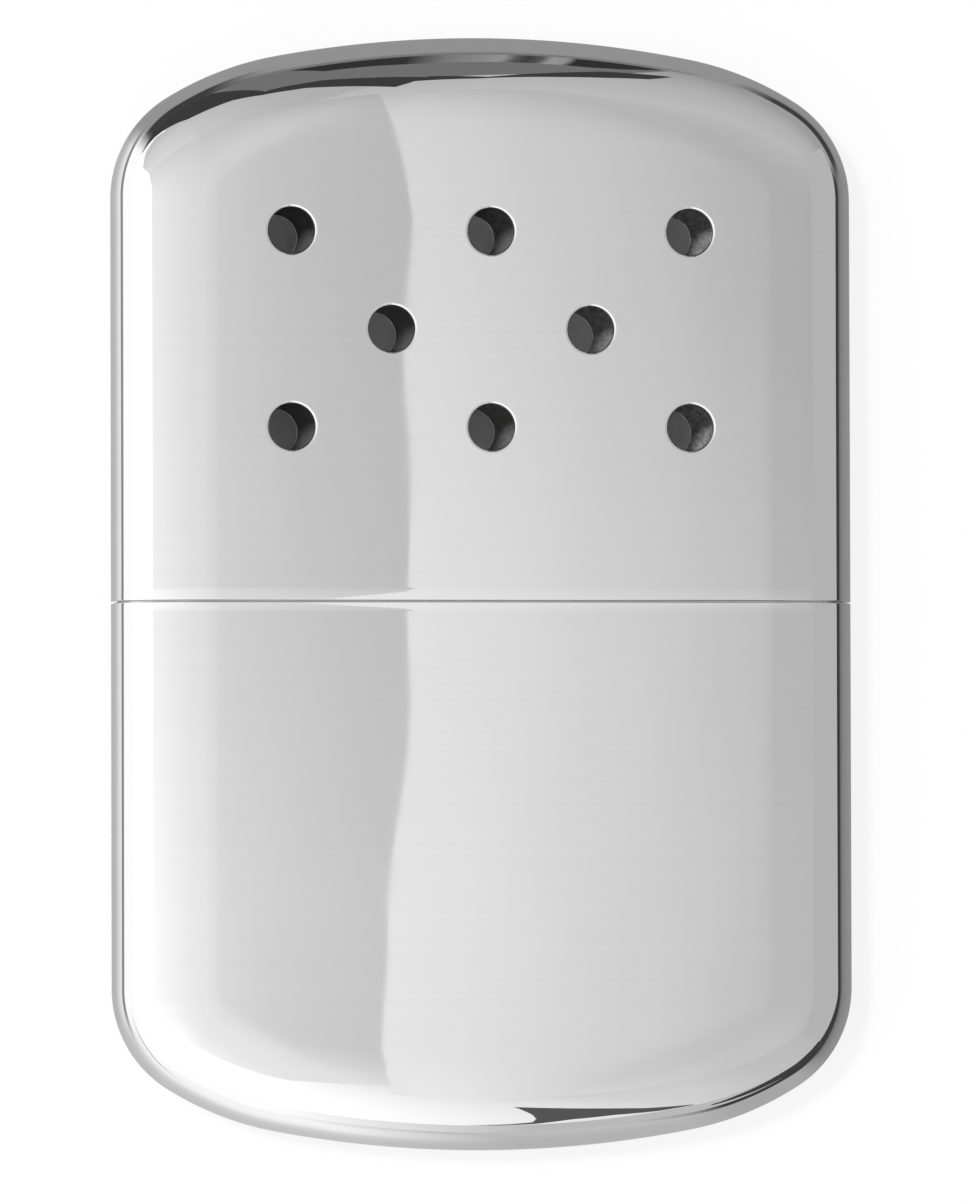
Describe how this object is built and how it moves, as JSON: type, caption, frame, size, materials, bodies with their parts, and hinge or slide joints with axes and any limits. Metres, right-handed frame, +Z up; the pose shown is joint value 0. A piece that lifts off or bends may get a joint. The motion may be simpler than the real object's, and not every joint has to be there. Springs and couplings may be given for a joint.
{
  "type": "catalytic hand warmer",
  "caption": "Pocket hand warmer: a flat chrome fuel tank with rounded ends, a press-on lid with vent holes, and a lift-off catalytic burner over the filler neck.",
  "frame": {"origin": "on the surface that the warmer lies on, under the middle of the closed case", "axes": "+X across the case to the right, +Y along the case towards the lid, +Z up through its thickness"},
  "size_m": [0.0664, 0.0992, 0.0136],
  "materials": {
    "case_chrome": "mirror polish",
    "plated_steel": "satin",
    "neck_brass": "satin",
    "solder": "matte",
    "felt": "felted",
    "wadding": "fibrous",
    "gauze_steel": "woven wire",
    "glass_cloth": "woven glass fibre",
    "catalyst_wool": "loose fibre"
  },
  "bodies": {
    "tank": {"tank_shell": "case_chrome", "tank_top_cup": "plated_steel", "tank_solder_seam": "solder", "filler_neck": "neck_brass", "neck_solder_ring": "solder", "wick_felt": "felt", "filling_pad_1": "wadding", "filling_pad_2": "wadding", "filling_pad_3": "wadding"},
    "burner": {"burner_skirt": "plated_steel", "burner_hood": "plated_steel", "support_gauze": "gauze_steel", "cover_gauze": "gauze_steel", "catalyst_cloth": "glass_cloth", "catalyst_core": "catalyst_wool"},
    "lid": {"lid_shell": "case_chrome"}
  },
  "joints": [
    {"name": "lid_slide", "type": "slide", "parent": "tank", "child": "lid", "axis": [0, 1, 0], "range_m": [0, 0.04]},
    {"name": "burner_lift", "type": "slide", "parent": "tank", "child": "burner", "axis": [0, 1, 0], "range_m": [0, 0.012]}
  ]
}
